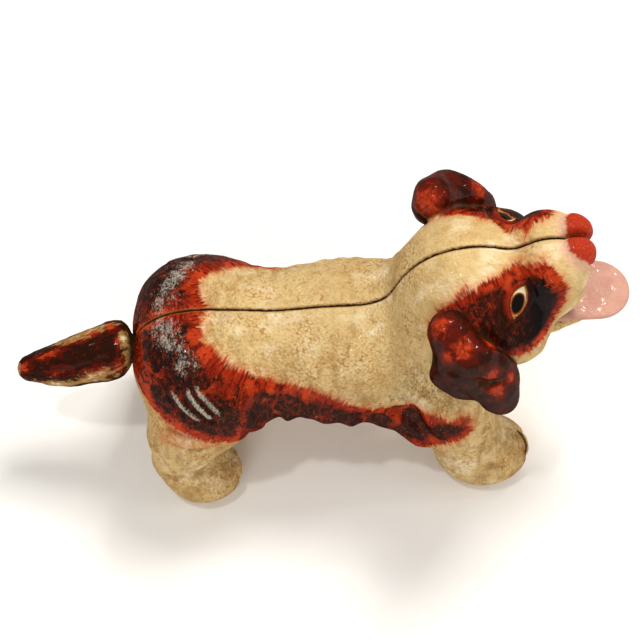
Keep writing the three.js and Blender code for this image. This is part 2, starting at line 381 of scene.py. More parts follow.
def with_bosses(solid, p, side):
    """Round bosses added for the pins and the screws."""
    for x, z, end in PINS:
        solid = np.minimum(solid, cross_bar(p, x, z, BOSS_RADIUS, HINGE_ROOM[side], end + 2))
    for name in SCREWS:
        x, z, _ = screw_place(name)
        solid = np.minimum(solid, cross_bar(p, x, z, BOSS_RADIUS, 0, SCREW["boss_end"]))
    return solid


def with_holes(solid, p, side):
    """Holes cut for the pins and the screws, whose heads are sunk into the left casting."""
    for x, z, end in PINS:
        solid = np.maximum(solid, -cross_bar(p, x, z, PIN_HOLE, -FAR, end + 0.3))
    for name in SCREWS:
        x, z, face = screw_place(name)
        hole_end = FAR if side > 0 else SCREW["hole_end"]
        solid = np.maximum(solid, -cross_bar(p, x, z, SCREW["hole"], -FAR, hole_end))
        if side > 0:
            solid = np.maximum(solid, -cross_bar(p, x, z, SCREW["recess"], face - SCREW["sunk"], FAR))
    return solid


def with_openings(solid, p, side):
    """The mouth, the room for the cranks and the tail's slot cut out, the edges in view rounded."""
    lips = block(p, [MOUTH["corner"], -FAR, MOUTH["low"]], [FAR, FAR, MOUTH["high"]])
    throat = block(p, [MOUTH["throat"], -FAR, MOUTH["low"]], [FAR, MOUTH["half"], MOUTH["high"]])
    pocket_low = [CRANK_POCKET["rear"], -FAR, CRANK_POCKET["low"]]
    pocket = block(p, pocket_low, [CRANK_POCKET["front"], HINGE_ROOM[side], CRANK_POCKET["high"]])
    slot_high = [TAIL_SLOT["front"], TAIL_SLOT["half"], TAIL_SLOT["high"]]
    slot = block(p, [-FAR, -FAR, TAIL_SLOT["low"]], slot_high)
    solid = soft_max(solid, -np.minimum(lips, throat), 1.6)
    solid = np.maximum(solid, -pocket)
    return soft_max(solid, -slot, 1.2)


def casting_field(p, side):
    """One half casting: its skin, cavity, bosses, openings and holes, cut at the seam and the soles."""
    nose_cleft = 1.5 * bell(p[1], 1.3) * rise(p[0], 70, 75) * rise(p[2], 88, 94)
    rear, front = CAVITY_ENDS
    cavity = np.maximum(np.maximum(hollow(p) + WALL, rear - p[0]), p[0] - front)
    solid = np.maximum(outside(p) + nose_cleft, -cavity)
    solid = with_bosses(solid, p, side)
    solid = with_openings(solid, p, side)
    solid = with_holes(solid, p, side)
    wander = 0.12 * np.sin(p[0] * 0.9) * np.sin(p[0] * 0.37 + 1) + 0.05 * np.sin(p[0] * 2.7)
    solid = soft_max(solid, 0.1 + side * wander - p[1], 0.5)
    return soft_max(solid, -p[2], 1.2)


def trunk_relief(p, mirrored):
    """Waves on the flank, folds on the neck and the locks of the fringe."""
    upper = rise(p[:, 2], 36, 46)
    on_flank = (1 - rise(p[:, 0], 30, 44)) * rise(p[:, 0], -38, -28) * upper
    waves = np.sin(2 * math.pi * (p[:, 0] + 3 * noise(mirrored, 8, 3)) / 6.2)
    out = on_flank * (0.24 * waves * (0.5 + 0.5 * noise(mirrored, 11, 4)))

    on_neck = rise(p[:, 0], 20, 30) * (1 - rise(p[:, 0], 42, 50)) * (1 - rise(p[:, 2], 70, 80)) * upper
    across = p[:, 0] * 0.8 + p[:, 2] * 0.6 + noise(mirrored, 9, 5)
    out += on_neck * 0.4 * np.sin(2 * math.pi * across / 6.5)

    band = (1 - rise(p[:, 2], 46, 53)) * rise(p[:, 2], 28, 34)
    band = band * rise(p[:, 0], -30, -22) * (1 - rise(p[:, 0], 40, 48)) * rise(p[:, 1], 15, 20)
    locks = noise(mirrored * [1, 0.5, 0.45] + np.outer(p[:, 2], [0.5, 0, 0]), 3.6, 6)
    return out + band * (1.25 * locks + 0.4)


def thigh_relief(p):
    """Raised streaks over the thigh, and the creases of the hock and below the streaks."""
    thigh = rise(-p[:, 0], 24, 30) * (1 - rise(-p[:, 0], 50, 56))
    thigh = thigh * rise(p[:, 2], 44, 50) * rise(p[:, 1], 16, 22)
    out = np.zeros(len(p))
    for streak in STREAKS:
        away, _ = to_path(p, streak)
        out += 0.3 * bell(away, 0.8)
        out -= 0.35 * bell(away - 1.7, 0.7) * thigh
    out -= 0.9 * near_path(p, HOCK, 1.1)
    out += 0.5 * near_path(p, HOCK, 4) * rise(p[:, 2], 38, 43)
    away, along = to_path(p, SMILE)
    return out - 0.9 * bell(away, 0.8) * rise(along, 0, 2)


def head_relief(p, mirrored):
    """The brow, the eye, the lines at the stop, the nose's edge and the ear's hollows."""
    on_head = rise(p[:, 0], 34, 46) * rise(p[:, 2], 62, 72)
    on_ear = rise(body(p.T) - ear(p.T), -1, 2)
    away, _ = to_path(p, BROW)
    out = -0.8 * bell(away, 0.8) * (1 - on_ear)
    out += 0.45 * bell(away - 2.2, 1.3) * (1 - on_ear) * on_head

    down, over, lens = eye_places(p)
    ball = 0.7 * np.clip(1 - (down / 4.6) ** 2 - (over / 2.2) ** 2, 0, 1)
    out += np.where(lens < 1, ball - 0.35, 0) + 0.55 * bell(lens - 1.25, 0.2)
    out -= 0.3 * bell(lens - 1.9, 0.3)

    stop_lines = bell(np.mod(p[:, 0] + 0.25 * p[:, 1], 2.3) - 1.1, 0.5)
    at_stop = rise(p[:, 0], 57, 58.5) * (1 - rise(p[:, 0], 62.5, 64.5)) * (1 - rise(p[:, 1], 6, 8))
    out += 0.22 * stop_lines * at_stop * on_head
    out += 0.45 * rise(-NOSE_PAINT(p.T), -0.3, 0.9)

    out -= on_ear * 1.5 * near_path(p, EAR_HOLLOW, 2.2)
    out -= on_ear * 0.9 * near_path(p, EAR_CURL, 0.9)
    return out + on_ear * 0.3 * noise(mirrored * [1, 0.5, 0.35], 3, 7)


def paw_relief(p, side):
    """The toe grooves, and on the right forepaw the chipped edge."""
    out = np.zeros(len(p))
    if side < 0:
        out -= 0.35 * near_path(p, CHIP, 0.9)
    for paw_x, paw_y in PAW_FRONTS:
        front = rise(p[:, 0], paw_x - 11, paw_x - 5) * (1 - rise(p[:, 0], paw_x + 3, paw_x + 4))
        front = front * (1 - rise(p[:, 2], 13, 19))
        for toe in TOE_GROOVES:
            out -= 0.6 * front * bell(p[:, 1] - paw_y - toe, 0.9)
    return out


def relief(p, side):
    """How far each point of the skin stands proud of the plain field, in millimetres."""
    mirrored = p * [1, side, 1]
    grain = 0.10 * noise(mirrored, 2.2, 1) + 0.22 * noise(mirrored, 7, 2)
    fur = grain + trunk_relief(p, mirrored) + thigh_relief(p)
    return fur + head_relief(p, mirrored) + paw_relief(p, side)


# ---- The castings' paint: where each colour lies, as values at the vertices ----

# The coat's edge over the rump, along the flank and round the thigh: x, and the distance round the
# body from the seam. It is the same on both sides.
GIRTH = {"radius": 25, "z": 50}
COAT = [
    [-70, -1], [-33.6, -1], [-35.2, 4], [-35.4, 11.5], [-31.5, 16], [-26, 21.5], [-18.4, 25.8], [-7, 30],
    [5.6, 34.5], [15, 39.5], [24.5, 43.4], [34, 42], [46, 43], [47, 49], [37, 54], [28, 60], [10, 60],
    [-8, 58], [-21, 56], [-27, 48], [-31, 45.5], [-38, 43], [-44, 41.5], [-50, 38.5], [-56, 34], [-70, 31],
]
# The face's patches, from the ear's root over the brow to the bridge, and back along the cheek, which
# is the same on both sides.
FACE_MIDDLE = np.array([54, 0, 80])
CHEEK_EDGE = [[70.6, 14.8, 81], [67, 20, 79.3], [61.4, 24.7, 77.5], [52, 27, 77], [36, 29, 78]]
FACE_PATCH = {
    -1: [
        [31, 16, 82], [32.3, 15.5, 85.2], [35, 14.3, 90.2], [41.3, 11.9, 95.1], [47.2, 9.9, 96.5],
        [53.3, 7.4, 96.8], [56.7, 5.8, 97], [62.7, 6, 99.8], [65, 5.4, 101], [68.8, 9.6, 99.7],
        [72.4, 12.4, 95], [72.8, 13.8, 88], *CHEEK_EDGE,
    ],
    1: [
        [31, 17, 84], [35.7, 17, 90], [39.5, 15.8, 93], [44.8, 12.4, 95.2], [50.5, 10.6, 96],
        [54.4, 8.2, 96.8], [57.4, 4.6, 97.3], [60, 1.6, 98], [62.4, 2, 99.5], [66, 5.2, 101],
        [69.5, 7, 101.4], [71.8, 12, 96], [72.6, 14, 88], *CHEEK_EDGE,
    ],
}
FACE_EDGE_INSET = 0.9

# Where the coat is nearly black and where the ears are red: each a place and a reach, on the dog's
# left (1) and right (-1). Grey is dry-brushed along FROSTY.
DARK = {
    1: [
        [62, 14, 92, 7], [66, 15, 88, 7], [55, 18, 90, 6], [-48, 13, 64, 7], [-44, 21, 61, 8],
        [-38, 26, 56, 8], [-20, 26, 50, 5], [-7, 25, 48, 5], [7, 26, 44, 5], [27, 27, 38, 7],
    ],
    -1: [
        [64.5, 15.5, 88, 7], [67, 16.5, 83, 5], [58.5, 22.5, 82, 6], [49, 13, 95, 4], [52, 19, 88, 4.5],
        [-45.5, 13, 67, 5], [-41, 19, 65.5, 5], [-47, 24, 59, 4], [-38, 28, 57, 5], [-31, 29.5, 53, 4.5],
        [-20, 26, 50, 4], [-8, 25, 48, 4.5], [6, 26, 44, 4.5], [18, 26.5, 41, 4], [29, 27, 38, 6],
        [39, 29.5, 41, 6],
    ],
}
FROSTY = [[-47, 2.5, 67], [-45.5, 8, 68], [-42, 13, 68], [-40, 17, 66.5]]
EAR_RED = {
    1: [[33.7, 19.6, 93.3, 6], [37, 28, 88, 5], [51.3, 29, 86, 3.6], [46, 34, 80, 4]],
    -1: [
        [39.8, 30.2, 92.3, 4], [33.5, 24, 94.5, 4], [35.5, 31.5, 90, 2.5], [48.5, 34.6, 83, 2.8],
        [50.5, 36, 76.5, 3], [55, 33.5, 79.5, 2.2], [48, 27, 88, 2.5],
    ],
}


def near_spots(p, spots):
    """1 at the middle of any of the spots, falling to 0 outside their reach."""
    share = np.zeros(len(p))
    for x, y, z, reach in spots:
        away = np.linalg.norm(p - [x, y, z], axis=1)
        share = np.maximum(share, bell(away, reach))
    return share


def girth_places(p):
    """x and the distance round the body from the seam."""
    return np.stack([p[:, 0], GIRTH["radius"] * np.arctan2(p[:, 1], p[:, 2] - GIRTH["z"])], axis=1)


def face_places(p):
    """The head's side flattened about the eye."""
    ahead = np.array(EYE["centre"]) - FACE_MIDDLE
    ahead = ahead / np.linalg.norm(ahead)
    right = np.cross(ahead, [0, 0, 1])
    right = right / np.linalg.norm(right)
    up = np.cross(right, ahead)
    offset = p - FACE_MIDDLE
    radius = np.linalg.norm(offset, axis=1)
    turned = np.arccos(np.clip(offset @ ahead / np.maximum(radius, 1e-6), -1, 1))
    sideways = np.stack([offset @ right, offset @ up], axis=1)
    length = np.maximum(np.linalg.norm(sideways, axis=1), 1e-6)
    return sideways * (turned * radius / length)[:, None]


def coat_places(p, side, head):
    """How deep each point is in the coat and how far along its edge, on the body or on the face."""
    coat, coat_run = to_outline(girth_places(p), COAT)
    face, face_run = to_outline(face_places(p), face_places(np.array(FACE_PATCH[side], float)))
    well_outside = -20
    face = np.where(p[:, 2] < 70, well_outside, face - FACE_EDGE_INSET)
    coat = np.where(head > 0.5, well_outside, coat)
    on_face = face > coat
    run = np.where(on_face, face_run + 300, coat_run)  # apart, so that no strokes repeat
    return {
        "coat_in": np.where(on_face, face, coat),
        "coat_run": run + 500 * (side < 0),
        "on_face": on_face.astype(float),
    }


def body_marks(p, side):
    """The marks on the coat and the legs."""
    streaked = np.zeros(len(p))
    for streak in STREAKS:
        away, along = to_path(p, streak)
        streaked = np.maximum(streaked, bell(away, 0.85) * rise(along, -1, 2) * rise(16 - along, 0, 4))
    return {
        "legs": 0.8 * (1 - rise(p[:, 2], 36, 48)),
        "lower": 1 - rise(p[:, 2], 30, 44),
        "rump": rise(-p[:, 0], 36, 42) * rise(p[:, 2], 52, 58),
        "streak": streaked,
        "frost": near_path(p, FROSTY, 5),
        "dark": near_spots(p, DARK[side]),
        "pink": near_path(p, HOCK, 5) * rise(p[:, 2], 37, 41),
        "smile": near_path(p, SMILE, 1.6),
        "wash": bell(p[:, 0] - 32, 8) * bell(p[:, 2] - 58, 9) * rise(p[:, 1], 12, 20),
        "chip": near_path(p, CHIP, 1.2) * (side < 0),
    }


def head_marks(p, side, head):
    """The marks on the head."""
    down, over, _ = eye_places(p)
    lip_height = (MOUTH["high"] - MOUTH["low"]) / 2
    from_lip = np.abs(p[:, 2] - MOUTH["low"] - lip_height) - lip_height
    stop = rise(p[:, 0], 57.5, 59) * (1 - rise(p[:, 0], 62.5, 64)) * (1 - rise(p[:, 1], 5.5, 8))
    return {
        "on_ear": rise(body(p.T) - ear(p.T), -0.6, 0.9),
        "on_nose": -NOSE_PAINT(p.T),
        "eye_down": down,
        "eye_over": over,
        "eye_side": bell(p[:, 0] - 64, 6) * rise(p[:, 1], 9, 13),
        "brow": to_path(p, BROW)[0],
        "stop": stop * head,
        "ear_red": near_spots(p, EAR_RED[side]),
        # Painted shade along the mouth's edges, just outside the opening.
        "lip": bell(from_lip - 0.6, 1.5) * rise(p[:, 0], 62, 67),
    }


def paint_places(p, side, quads):
    """Every value that the casting's paint is mixed from."""
    head = rise(p[:, 2], 66, 76) * rise(p[:, 0], 26, 34)
    bend = p - smoothed(p, quads, 6)
    return {
        **coat_places(p, side, head),
        **body_marks(p, side),
        **head_marks(p, side, head),
        "head": head,
        "seam": p[:, 1],
        "depth": -outside(p.T),
        # How hollow the skin is here; the paints darken the hollows with it, as painted shade.
        "dip": np.clip(-(bend * normals_of(p, quads)).sum(axis=1) * 5, 0, 1),
    }


def casting(name, side):
    low, high = [-60, -1.4, -1.4], [90.5, 39.5, 106]
    points, quads, normals = surface(lambda p: casting_field(p, side), low, high, BODY_STEP)
    skin = rise(outside(points.T), -0.9, -0.25) * rise(points[:, 1], 0.5, 1.3) * rise(points[:, 2], 0.2, 1.5)
    points = points + normals * (skin * relief(points, side))[:, None]
    attributes = paint_places(points, side, quads)
    points = points * [1, side, 1]
    quads = quads if side > 0 else quads[:, ::-1]
    piece = mesh_object(name, points, quads, attributes)
    piece.data.materials.append(casting_paint())
    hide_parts(name)
    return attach(piece, "body")


# ---- The tail and the tongue ----

HUB_RADIUS = 3.3
HUB_HALF = (-4.2, 3.4)
CRANK = (-4.2, -1.8)
CRANK_END = 2.7
LINK_HOLE = 1.4
TAIL_BASE = (-58.2, 50.4)
TAIL_HANG = 10.8
TAIL_LENGTH = TAIL_BASE[0] - TAIL_TIP_X
TAIL_PROFILE = [
    [0, 4.6], [0.004, 5.2], [0.035, 7.2], [0.075, 8.7], [0.13, 9.2], [0.2, 9.4], [0.32, 9.2], [0.48, 8.4],
    [0.68, 6.8], [0.84, 5.2], [0.94, 3.6], [0.985, 1.9], [1, 0],
]

# Red and pale places on the tail: how far along, the turn from the top (radians, positive to the
# dog's left), the reach in each, and the strength.
TAIL_RED = [
    [0.155, 0.5, 0.07, 0.35, 1.0], [0.1, -0.3, 0.03, 0.5, 0.7], [0.72, 0.05, 0.18, 0.26, 1.0],
    [0.94, -0.35, 0.08, 0.6, 1.0], [0.3, -1.2, 0.16, 0.35, 0.8], [0.1, -1.2, 0.07, 0.4, 0.9],
    [0.42, 0.3, 0.24, 0.24, 0.85], [0.5, 2.6, 0.3, 0.6, 0.8], [0.6, -0.9, 0.16, 0.3, 0.6],
]
TAIL_PALE = [
    [0.05, -0.12, 0.05, 0.42, 1.15], [0.42, 0.55, 0.3, 0.34, 0.95], [0.3, -1.4, 0.2, 0.36, 1.0],
    [0.65, -1.6, 0.25, 0.34, 0.95], [0.0, -1.1, 0.07, 1.1, 1.0], [1.0, -0.6, 0.04, 1.5, 1.1],
]


def tail_marks(places, marks):
    """How strongly any of the marks covers each place (how far along, turn from the top)."""
    share = np.zeros(len(places))
    for along, turn, reach, wide, strength in marks:
        away = ((places[:, 0] - along) / reach) ** 2 + ((places[:, 1] - turn) / wide) ** 2
        share = np.maximum(share, strength * np.exp(-away))
    return share


def tail_middle(x):
    """How far along the tail x is, from 0 to 1, and the height of its middle there."""
    along = np.clip((TAIL_BASE[0] - x) / TAIL_LENGTH, 0, 1)
    return along, TAIL_BASE[1] - TAIL_HANG * np.sin(along * math.pi / 2) ** 1.2


def plate(p, start, start_radius, end, end_radius, near, far):
    """A flat arm with round ends, standing in the dog's middle plane."""
    flat = [p[0], 0 * p[1], p[2]]
    arm = limb([start[0], 0, start[1]], start_radius, [end[0], 0, end[1]], end_radius)(flat)
    return np.maximum(arm, np.maximum(near - p[1], p[1] - far))


def hub(p, x, z, eye):
    """A pivot's hub with its crank, bored for the pin and the link."""
    solid = cross_bar(p, x, z, HUB_RADIUS, *HUB_HALF)
    return np.minimum(solid, plate(p, (x, z), HUB_RADIUS, eye, CRANK_END, *CRANK))


def bored(solid, p, x, z, eye):
    solid = np.maximum(solid, -cross_bar(p, x, z, PIN_HOLE + 0.05, -FAR, FAR))
    return np.maximum(solid, -cross_bar(p, *eye, LINK_HOLE, -FAR, FAR))


def tail_field(p):
    along, middle = tail_middle(p[0])
    profile = np.array(TAIL_PROFILE)
    radius = np.interp(along, profile[:, 0], profile[:, 1])
    off = np.hypot(p[1], p[2] - middle) - radius
    ends = np.maximum(p[0] - TAIL_BASE[0], TAIL_TIP_X - p[0])
    flesh = soft_max(off, ends, 1.0)
    stem = plate(p, (TAIL_X, TAIL_Z), HUB_RADIUS, (TAIL_BASE[0] - 6, TAIL_BASE[1] - 2), 3.2, -2.9, 2.9)
    solid = soft_min(flesh, stem, 1.5)
    solid = np.minimum(solid, hub(p, TAIL_X, TAIL_Z, TAIL_EYE))
    return bored(solid, p, TAIL_X, TAIL_Z, TAIL_EYE)


def tail():
    low, high = [TAIL_TIP_X - 1.5, -11, 33], [-44, 11, 61]
    points, quads, normals = surface(tail_field, low, high, SMALL_STEP)
    along, middle = tail_middle(points[:, 0])
    round_it = np.arctan2(points[:, 1], points[:, 2] - middle)
    fleshy = rise(TAIL_BASE[0] - points[:, 0], 0.5, 4) * (1 - rise(along, 0.95, 1.0))
    flow = np.stack([points[:, 0] * 0.16, round_it * 8 / 3 + along * 1.2, 0 * along], axis=1)
    hair = noise(flow, 1, 1)
    ridge = bell(round_it + 0.35 + 0.5 * along, 0.16)
    groove = bell(round_it + 0.75 + 0.3 * along, 0.12)
    lumps = 0.35 * noise(points, 4.5, 3) + 0.15 * noise(points, 2, 4)
    points = points + normals * (fleshy * (lumps + 0.4 * hair + 0.5 * ridge - 0.5 * groove - 0.15))[:, None]
    bend = points - smoothed(points, quads, 5)
    marks = np.stack([along, round_it], axis=1)
    attributes = {
        "along": along,
        "round": round_it,
        "red": tail_marks(marks, TAIL_RED),
        "pale": tail_marks(marks, TAIL_PALE),
        # How hollow the tail's skin is here; its paint darkens the hollows with it, as painted shade.
        "dip": np.clip(-(bend * normals).sum(axis=1) * 4, 0, 1),
        "shaft": rise(points[:, 0], TAIL_BASE[0] - 1.5, TAIL_BASE[0] + 0.5),
    }
    piece = mesh_object("tail_painted", points, quads, attributes)
    piece.data.materials.append(tail_paint())
    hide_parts("tail")
    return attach(piece, "tail")


TONGUE = {"root": 59, "half": 10.4, "low": 69.2, "high": 71.6}


def tongue_field(p):
    half = TONGUE["half"]
    tip = TONGUE_TIP_X - half
    beyond = np.maximum(p[0] - tip, 0)
    outline = np.hypot(beyond, p[1]) - half
    outline = soft_max(outline, TONGUE["root"] - p[0], 3)
    slab = np.maximum(TONGUE["low"] - p[2], p[2] - TONGUE["high"])
    flat = soft_max(outline, slab, 1.6)
    solid = np.minimum(flat, hub(p, TONGUE_X, TONGUE_Z, TONGUE_EYE))
    return bored(solid, p, TONGUE_X, TONGUE_Z, TONGUE_EYE)


def tongue():
    low, high = [58, -12, 55.5], [TONGUE_TIP_X + 1.5, 12, 73.5]
    points, quads, normals = surface(tongue_field, low, high, SMALL_STEP)
    top = rise(normals[:, 2], 0.3, 0.8) * rise(points[:, 2], 70.5, 71.3)
    pebbles = noise(points, 1.3, 2) + 0.3 * noise(points, 2.7, 3)
    points = points + normals * (top * (0.07 * pebbles - 0.05))[:, None]
    attributes = {"plate": rise(points[:, 2], 68.4, 69.4)}
    piece = mesh_object("tongue_painted", points, quads, attributes)
    piece.data.materials.append(tongue_paint())
    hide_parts("tongue")
    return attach(piece, "tongue")


# ---- Materials ----


def colour(red, green, blue):
    """An sRGB colour of 0 to 255 as the linear values that a node takes."""
    shares = [value / 255 for value in (red, green, blue)]
    return [s / 12.92 if s <= 0.04045 else ((s + 0.055) / 1.055) ** 2.4 for s in shares] + [1]


class Paint:
    """A material being mixed: short calls that add nodes and give back their outputs."""

    def __init__(self, name):
        self.material = bpy.data.materials.new(name)
        self.material.use_nodes = True
        self.tree = self.material.node_tree
        self.shader = self.tree.nodes["Principled BSDF"]
        places = self.node("ShaderNodeTexCoord").outputs["Object"]
        scaled = self.node("ShaderNodeVectorMath", operation="SCALE")
        self.fill(scaled, {0: places, "Scale": 1 / MM})
        self.places = scaled.outputs[0]

    def node(self, kind, **settings):
        made = self.tree.nodes.new(kind)
        for label, value in settings.items():
            setattr(made, label, value)
        return made

    def link(self, value, socket):
        """Puts a number, a colour or another node's output into a socket."""
        if isinstance(value, bpy.types.NodeSocket):
            self.tree.links.new(value, socket)
        else:
            socket.default_value = value

    def fill(self, node, inputs):
        """Puts values into a node's inputs, by name or number."""
        for label, value in inputs.items():
            self.link(value, node.inputs[label])

    def result(self, kind, values, **settings):
        """The first output of a new node that takes the values as its first inputs."""
        made = self.node(kind, **settings)
        self.fill(made, dict(enumerate(values)))
        return made.outputs[0]

    def value(self, name):
        return self.node("ShaderNodeAttribute", attribute_name=name).outputs["Fac"]

    def math(self, operation, a, b=0.0):
        return self.result("ShaderNodeMath", (a, b), operation=operation)

    def add(self, a, b):
        return self.math("ADD", a, b)

    def minus(self, a, b):
        return self.math("SUBTRACT", a, b)

    def times(self, a, b):
        return self.math("MULTIPLY", a, b)

    def most(self, a, b):
        return self.math("MAXIMUM", a, b)

    def without(self, a, b):
        """a where b is 0, and 0 where b is 1."""
        return self.times(a, self.minus(1.0, b))

    def spread(self, noise, amount):
        """A noise about 0.5 turned into one about 0, of the given height."""
        return self.times(self.minus(noise, 0.5), amount)

    def ragged(self, value, noise, amount):
        """The value made uneven by a noise."""
        return self.add(value, self.spread(noise, amount))

    def rise(self, value, low, high):
        """0 at low, 1 at high, smooth between."""
        inputs = (value, low, high, 0.0, 1.0)
        return self.result("ShaderNodeMapRange", inputs, interpolation_type="SMOOTHSTEP")

    def vector(self, *parts):
        return self.result("ShaderNodeCombineXYZ", parts)

    def stretched(self, *scales):
        return self.result("ShaderNodeVectorMath", (self.places, scales), operation="MULTIPLY")

    def noise(self, size, detail, roughness=0.5, places=None, warp=0.0):
        made = self.node("ShaderNodeTexNoise")
        self.fill(made, {"Vector": self.places if places is None else places, "Scale": 1 / size})
        self.fill(made, {"Detail": detail, "Roughness": roughness, "Distortion": warp})
        return made.outputs[0]

    def pebbles(self, size):
        made = self.node("ShaderNodeTexVoronoi", feature="SMOOTH_F1")
        self.fill(made, {"Vector": self.places, "Scale": 1 / size, "Smoothness": 0.6})
        return made.outputs["Distance"]

    def mix(self, share, a, b):
        made = self.node("ShaderNodeMix", data_type="RGBA")
        self.fill(made, {0: share, 6: a, 7: b})
        return made.outputs[2]

    def cover(self, base, share, strength, top):
        """The base with the top colour over it, at most as strong as given."""
        return self.mix(self.times(share, strength), base, top)

    def finish(self, base, roughness, heights, coat=0.0):
        """Joins the colour, the roughness and the (height, millimetres) pairs to the shader."""
        self.fill(self.shader, {"Base Color": base, "Roughness": roughness, "Coat Weight": coat})
        # The paint's shine comes from the coat alone.
        self.fill(self.shader, {"Coat Roughness": 0.08, "Coat IOR": 2.4, "Specular IOR Level": 0.0})
        normal = None
        for height, depth in heights:
            bump = self.node("ShaderNodeBump")
            self.fill(bump, {"Distance": depth * MM, "Height": height})
            if normal is not None:
                self.link(normal, bump.inputs["Normal"])
            normal = bump.outputs[0]
        self.link(normal, self.shader.inputs["Normal"])
        return self.material


CREAM = colour(210, 182, 128)
PALE_CREAM = colour(238, 220, 182)
TAN = colour(178, 136, 78)
OCHRE = colour(138, 92, 42)
# Painted shade for the pits of the cream's pebbled grain.
PIT_SHADE_GOLD = colour(160, 108, 52)
OLIVE = colour(84, 72, 40)
RED = colour(152, 38, 12)
ORANGE = colour(204, 88, 40)
RED_ORANGE = colour(190, 62, 26)
DEEP_RED = colour(88, 18, 6)
EMBER = colour(112, 34, 14)
BROWN_BLACK = colour(40, 17, 8)
BLUE_BLACK = colour(18, 14, 15)
FROST = colour(186, 182, 168)
PALE_GREY = colour(206, 202, 182)
CORAL = colour(206, 90, 60)
NOSE_RED = colour(170, 50, 27)
PINK = colour(236, 178, 164)
SEAM_BROWN = colour(60, 38, 20)
RUST = colour(74, 44, 30)
IRIS = colour(128, 50, 18)
PUPIL = colour(10, 9, 6)
TONGUE_PINK = colour(200, 152, 136)
TONGUE_DULL = colour(193, 143, 126)
# Painted highlights for the tongue's pebbles.
TONGUE_HIGHLIGHT = colour(216, 168, 150)
STEEL = colour(126, 120, 112)
STEEL_RUST = colour(104, 62, 36)
FLOOR = colour(246, 245, 243)
FLOOR_PALE = colour(250, 249, 247)


def cream_coat(paint):
    """Cream enamel with ochre clouds and brush marks, painted shade in the pits of its pebbled grain and
    painted highlights on its tops, and ochre painted shade in the hollows.
    """
    head = paint.value("head")
    clouds = paint.rise(paint.noise(9, 5, 0.62), 0.44, 0.68)
    base = paint.cover(CREAM, clouds, 0.5, TAN)
    pale = paint.rise(paint.noise(9, 2, places=paint.stretched(1, 1.3, 0.8)), 0.5, 0.75)
    base = paint.cover(base, pale, 0.75, PALE_CREAM)
    below = paint.without(paint.rise(paint.value("coat_in"), -16, -1), head)
    below = paint.most(below, paint.value("legs"))
    smears = paint.noise(2.6, 4, 0.65, places=paint.stretched(1, 0.5, 0.4), warp=0.8)
    base = paint.cover(base, paint.times(below, paint.rise(smears, 0.42, 0.62)), 0.5, OCHRE)
    brushed = paint.noise(1.1, 4, 0.7, places=paint.stretched(0.22, 1, 0.6), warp=0.5)
    base = paint.cover(base, paint.times(paint.rise(brushed, 0.48, 0.64), head), 0.3, TAN)
    grainy = paint.add(0.2, paint.times(paint.rise(paint.noise(10, 3), 0.4, 0.65), 0.8))
    grainy = paint.times(grainy, paint.minus(1.0, paint.times(head, 0.7)))
    # Painted shade: gold-brown in the pits of the pebbled grain.
    pit_shade = paint.rise(paint.ragged(paint.pebbles(0.8), paint.noise(1.7, 3, 0.7), 0.9), 0.4, 0.9)
    base = paint.cover(base, paint.times(pit_shade, grainy), 0.85, PIT_SHADE_GOLD)
    # Painted highlights: pale cream on the tops of the pebbled grain.
    tip_highlights = paint.rise(paint.ragged(paint.pebbles(0.8), paint.noise(1.3, 2), 0.8), 0.2, 0.0)
    base = paint.cover(base, tip_highlights, 0.65, PALE_CREAM)
    # Painted shade: ochre darkening in the hollows, broken into patches.
    hollow_shade = paint.times(paint.value("dip"), paint.rise(paint.noise(2.2, 3), 0.3, 0.6))
    base = paint.cover(base, hollow_shade, 0.6, OCHRE)
    hatch = paint.noise(1.2, 3, 0.75, places=paint.stretched(1, 1, 0.4), warp=1.2)
    hatch = paint.times(paint.rise(hatch, 0.44, 0.58), paint.value("wash"))
    base = paint.cover(base, hatch, 0.75, OLIVE)
    # Painted shade: ochre along the edges of the mouth.
    lips = paint.times(paint.value("lip"), paint.rise(paint.noise(2.4, 4, 0.65), 0.3, 0.6))
    base = paint.cover(base, lips, 0.7, OCHRE)
    lines = paint.times(paint.value("stop"), paint.rise(paint.noise(1.6, 1), 0.4, 0.6))
    base = paint.cover(base, lines, 0.4, OCHRE)
    # Ochre patches, more of them towards the bottom.
    lower_ochre = paint.times(paint.value("lower"), paint.rise(paint.noise(7, 4, 0.6), 0.5, 0.7))
    return paint.cover(base, lower_ochre, 0.6, OCHRE)


def coat_strokes(paint, size, stretch):
    """Noise drawn out across the coat's edge, as brush strokes are."""
    run = paint.times(paint.value("coat_run"), 1 / size)
    depth = paint.times(paint.value("coat_in"), 1 / (size * stretch))
    return paint.noise(1, 1, 0.4, places=paint.vector(run, depth, 0.0))


